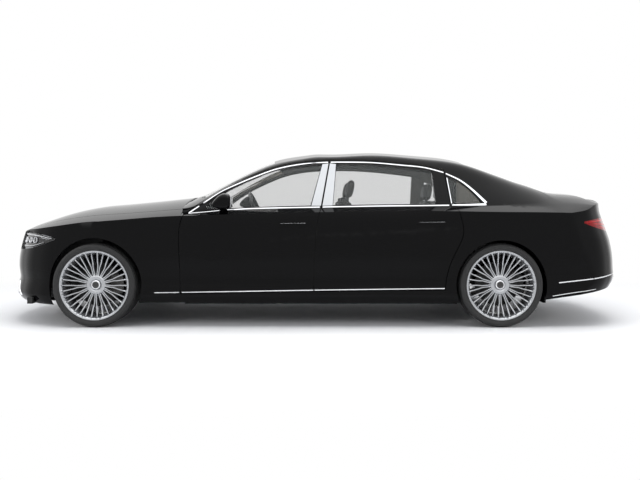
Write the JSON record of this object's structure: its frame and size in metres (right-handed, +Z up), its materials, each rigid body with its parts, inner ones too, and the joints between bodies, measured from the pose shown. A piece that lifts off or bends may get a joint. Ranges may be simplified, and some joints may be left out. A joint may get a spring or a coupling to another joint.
{
  "type": "luxury sedan",
  "caption": "Long-wheelbase luxury sedan with opening doors, hood and boot lid, steered front wheels and paired-spoke forged wheels.",
  "frame": {"origin": "on the ground, under the middle of the car", "axes": "+X towards the tail, +Y towards the car's right side, +Z up"},
  "size_m": [5.4707, 2.14, 1.513],
  "materials": {
    "body_paint": "gloss black",
    "window_glass": "lightly tinted",
    "lamp_lens": "clear",
    "red_lens": "gloss",
    "bright_trim": "polished",
    "forged_alloy": "polished and lacquered",
    "tyre_rubber": "satin",
    "cast_metal": "machined",
    "frame_metal": "satin black",
    "black_plastic": "grained",
    "steel": "plain",
    "seat_leather": "black"
  },
  "bodies": {
    "body": {"front_fenders": "body_paint", "front_bumper": "body_paint", "rear_bumper": "body_paint", "body_shell": "body_paint", "windshield": "window_glass", "rear_window": "window_glass", "quarter_windows": "window_glass", "headlamps": "lamp_lens", "tail_lamps": "red_lens", "grille": "bright_trim", "lower_grille": "bright_trim", "front_suspension": "frame_metal", "front_frame": "frame_metal", "engine": "frame_metal", "rear_suspension": "frame_metal", "exhaust": "steel", "wheel_liners": "black_plastic", "door_stops": "black_plastic", "lid_stops": "black_plastic", "dashboard": "black_plastic", "front_seats": "seat_leather", "rear_seats": "seat_leather"},
    "front_left_wheel_body": {"front_left_wheel": "forged_alloy", "front_left_tyre": "tyre_rubber", "front_left_disc": "cast_metal"},
    "front_right_wheel_body": {"front_right_wheel": "forged_alloy", "front_right_tyre": "tyre_rubber", "front_right_disc": "cast_metal"},
    "rear_left_wheel_body": {"rear_left_wheel": "forged_alloy", "rear_left_tyre": "tyre_rubber", "rear_left_disc": "cast_metal"},
    "rear_right_wheel_body": {"rear_right_wheel": "forged_alloy", "rear_right_tyre": "tyre_rubber", "rear_right_disc": "cast_metal"},
    "left_steered_hub": {"left_knuckle": "cast_metal"},
    "front_left_door_body": {"front_left_door": "body_paint", "front_left_window": "window_glass", "left_mirror": "body_paint"},
    "rear_left_door_body": {"rear_left_door": "body_paint", "rear_left_window": "window_glass"},
    "right_steered_hub": {"right_knuckle": "cast_metal"},
    "front_right_door_body": {"front_right_door": "body_paint", "front_right_window": "window_glass", "right_mirror": "body_paint"},
    "rear_right_door_body": {"rear_right_door": "body_paint", "rear_right_window": "window_glass"},
    "hood_body": {"hood": "body_paint"},
    "trunk_lid_body": {"trunk_lid": "body_paint", "lid_lamps": "red_lens"},
    "steering_wheel_body": {"steering_wheel": "black_plastic"}
  },
  "joints": [
    {"name": "front_left_wheel_spin", "type": "hinge", "parent": "left_steered_hub", "child": "front_left_wheel_body", "pos_m": [-1.8245, -0.815, 0.35], "axis": [0, 1, 0], "continuous": true},
    {"name": "front_right_wheel_spin", "type": "hinge", "parent": "right_steered_hub", "child": "front_right_wheel_body", "pos_m": [-1.8245, 0.815, 0.35], "axis": [0, 1, 0], "continuous": true},
    {"name": "rear_left_wheel_spin", "type": "hinge", "parent": "body", "child": "rear_left_wheel_body", "pos_m": [1.5715, -0.815, 0.35], "axis": [0, 1, 0], "continuous": true},
    {"name": "rear_right_wheel_spin", "type": "hinge", "parent": "body", "child": "rear_right_wheel_body", "pos_m": [1.5715, 0.815, 0.35], "axis": [0, 1, 0], "continuous": true},
    {"name": "left_steer", "type": "hinge", "parent": "body", "child": "left_steered_hub", "pos_m": [-1.8245, -0.69, 0.35], "axis": [0, 0, 1], "range_deg": [-32, 32]},
    {"name": "front_left_door_hinge", "type": "hinge", "parent": "body", "child": "front_left_door_body", "pos_m": [-1.106, -0.946, 0.65], "axis": [0, 0, -1], "range_deg": [0, 65]},
    {"name": "rear_left_door_hinge", "type": "hinge", "parent": "body", "child": "rear_left_door_body", "pos_m": [0.026, -0.957, 0.65], "axis": [0, 0, -1], "range_deg": [0, 60]},
    {"name": "right_steer", "type": "hinge", "parent": "body", "child": "right_steered_hub", "pos_m": [-1.8245, 0.69, 0.35], "axis": [0, 0, 1], "range_deg": [-32, 32]},
    {"name": "front_right_door_hinge", "type": "hinge", "parent": "body", "child": "front_right_door_body", "pos_m": [-1.106, 0.946, 0.65], "axis": [0, 0, 1], "range_deg": [0, 65]},
    {"name": "rear_right_door_hinge", "type": "hinge", "parent": "body", "child": "rear_right_door_body", "pos_m": [0.026, 0.957, 0.65], "axis": [0, 0, 1], "range_deg": [0, 60]},
    {"name": "hood_hinge", "type": "hinge", "parent": "body", "child": "hood_body", "pos_m": [-1.112, 0, 1.088], "axis": [0, 1, 0], "range_deg": [0, 45]},
    {"name": "trunk_lid_hinge", "type": "hinge", "parent": "body", "child": "trunk_lid_body", "pos_m": [2.105, 0, 1.16], "axis": [0, -1, 0], "range_deg": [0, 75]},
    {"name": "steering_wheel_turn", "type": "hinge", "parent": "body", "child": "steering_wheel_body", "pos_m": [-0.505, -0.37, 0.955], "axis": [0.9135, 0, 0.4067], "range_deg": [-450, 450]}
  ],
  "couplings": [
    {"joint": "right_steer", "follows": "left_steer", "ratio": 1}
  ]
}
